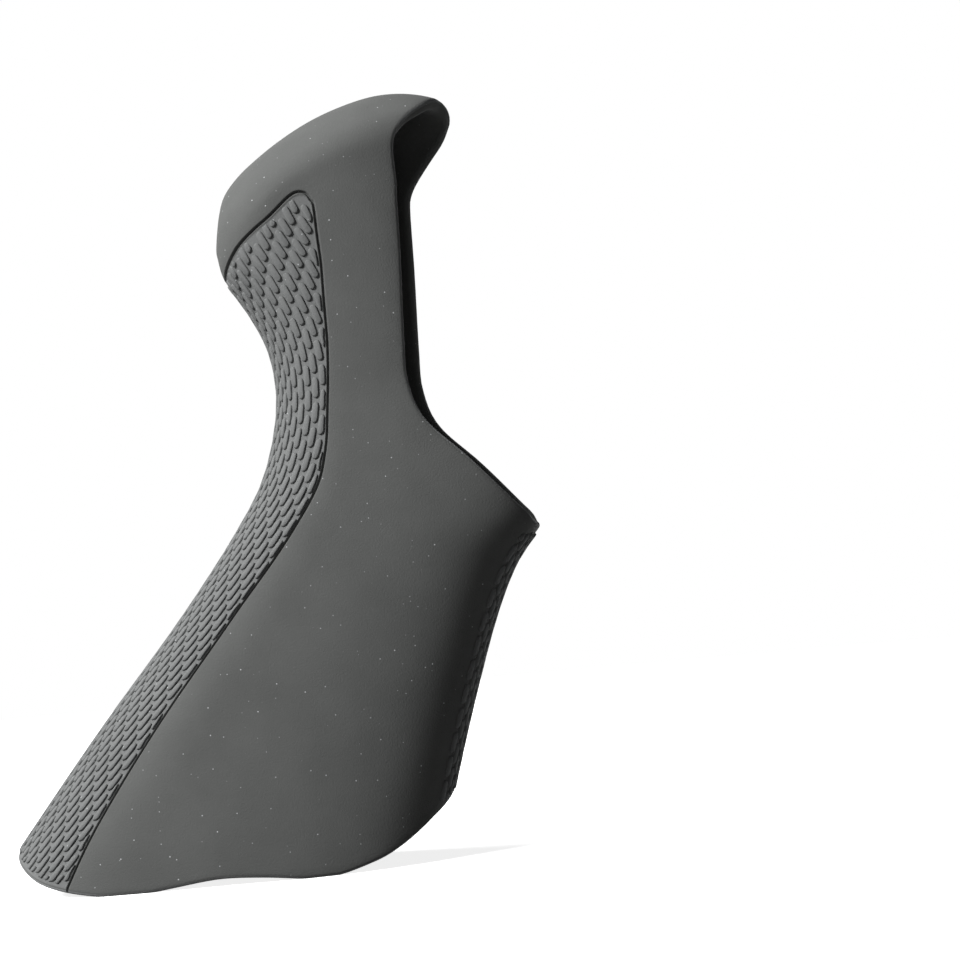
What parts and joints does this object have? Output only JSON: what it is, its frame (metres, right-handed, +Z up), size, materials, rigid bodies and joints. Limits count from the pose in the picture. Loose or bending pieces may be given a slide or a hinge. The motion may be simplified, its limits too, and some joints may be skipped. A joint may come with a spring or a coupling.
{
  "type": "brake lever hood",
  "caption": "One-piece moulded rubber hood for a drop-bar brake lever, with a creased horn, an open lever slot and a grip texture on the palm side and the underside.",
  "frame": {"origin": "on the surface that the bar-side rim stands on, under the middle of the bounding box", "axes": "+Z up from the bar-side rim to the horn, +X towards the side that the lever blade comes out of, palm side at -X, the two flanks at -Y and +Y"},
  "size_m": [0.0903, 0.0366, 0.1246],
  "materials": {
    "hood_rubber": "matte moulded rubber with fine grain"
  },
  "bodies": {
    "root": {"hood": "hood_rubber"}
  },
  "joints": []
}
